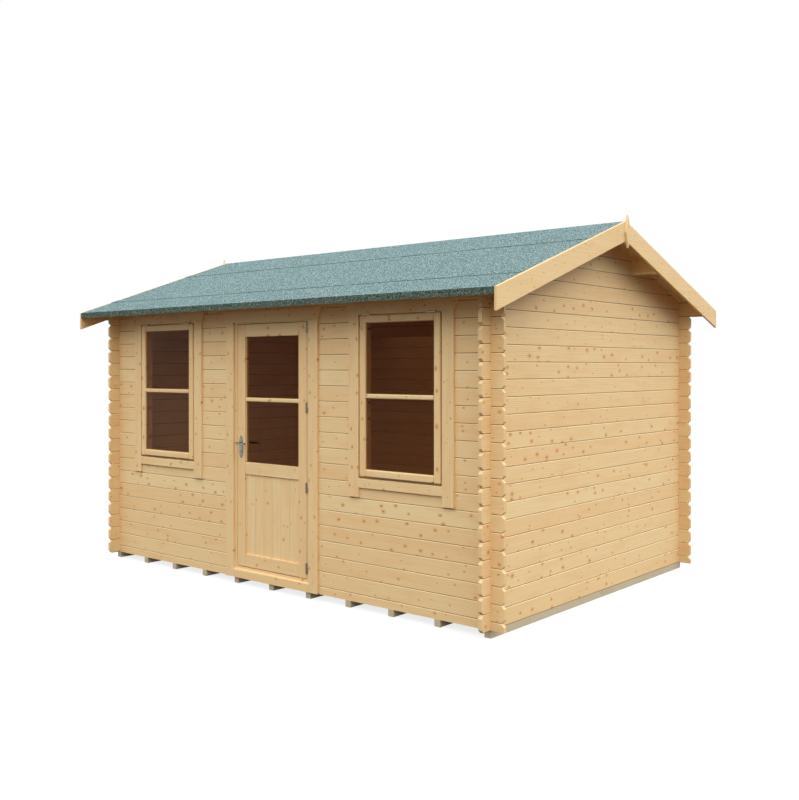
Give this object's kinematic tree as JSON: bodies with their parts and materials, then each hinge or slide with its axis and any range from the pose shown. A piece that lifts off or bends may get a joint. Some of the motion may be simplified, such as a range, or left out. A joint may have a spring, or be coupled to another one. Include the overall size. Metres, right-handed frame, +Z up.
{
  "type": "log cabin",
  "caption": "Garden log cabin of interlocking timber logs with a felted gable roof, a hinged half-glazed door and top-hung windows, on bearers.",
  "frame": {"origin": "on the ground, in the middle of the footprint", "axes": "+X along the front, to the right as seen by someone facing the door; +Y from front to back; +Z up"},
  "size_m": [4.59, 3.354, 2.8438],
  "materials": {
    "spruce": "planed, unpainted",
    "treated_timber": "sawn, pressure treated",
    "roofing_felt": "green mineral surface",
    "window_glass": "clear",
    "nickel": "satin"
  },
  "bodies": {
    "cabin": {"back_bargeboards": "spruce", "back_roof_boards": "spruce", "back_roofing_felt": "roofing_felt", "back_wall": "spruce", "door_frame_head": "spruce", "door_head_trim": "spruce", "door_hinge_pins": "nickel", "door_jambs": "spruce", "door_side_trims": "spruce", "door_sill": "spruce", "eaves_logs": "spruce", "finials": "spruce", "floor_bearers": "treated_timber", "floor_boards": "spruce", "front_bargeboards": "spruce", "front_corner_logs": "spruce", "front_low_logs": "spruce", "front_over_door_log": "spruce", "front_pier_logs": "spruce", "front_roof_boards": "spruce", "front_roofing_felt": "roofing_felt", "left_gable_wall": "spruce", "purlins": "spruce", "ridge_beam": "spruce", "ridge_felt": "roofing_felt", "right_gable_wall": "spruce", "sash_glazing_bars": "spruce", "sash_rails": "spruce", "sash_stiles": "spruce", "window_aprons": "spruce", "window_head_trims": "spruce", "window_hinges": "nickel", "window_panes": "window_glass", "window_posts": "spruce", "window_rails": "spruce", "window_side_trims": "spruce"},
    "door": {"door_stiles": "spruce", "door_rails": "spruce", "door_panel": "spruce", "door_glass": "window_glass", "door_glazing_bar": "spruce", "door_hinge_knuckles": "nickel", "door_backplates": "nickel"},
    "door_handle": {"door_handle": "nickel"}
  },
  "joints": [
    {"name": "door_swing", "type": "hinge", "parent": "cabin", "child": "door", "pos_m": [0.395, -1.433, 1.1], "axis": [0, 0, 1], "range_deg": [0, 160]},
    {"name": "handle_turn", "type": "hinge", "parent": "door", "child": "door_handle", "pos_m": [-0.3505, -1.405, 1.122], "axis": [0, 1, 0], "range_deg": [0, 40], "stiffness_Nm_per_rad": 1.5, "springref_deg": -22.92}
  ]
}
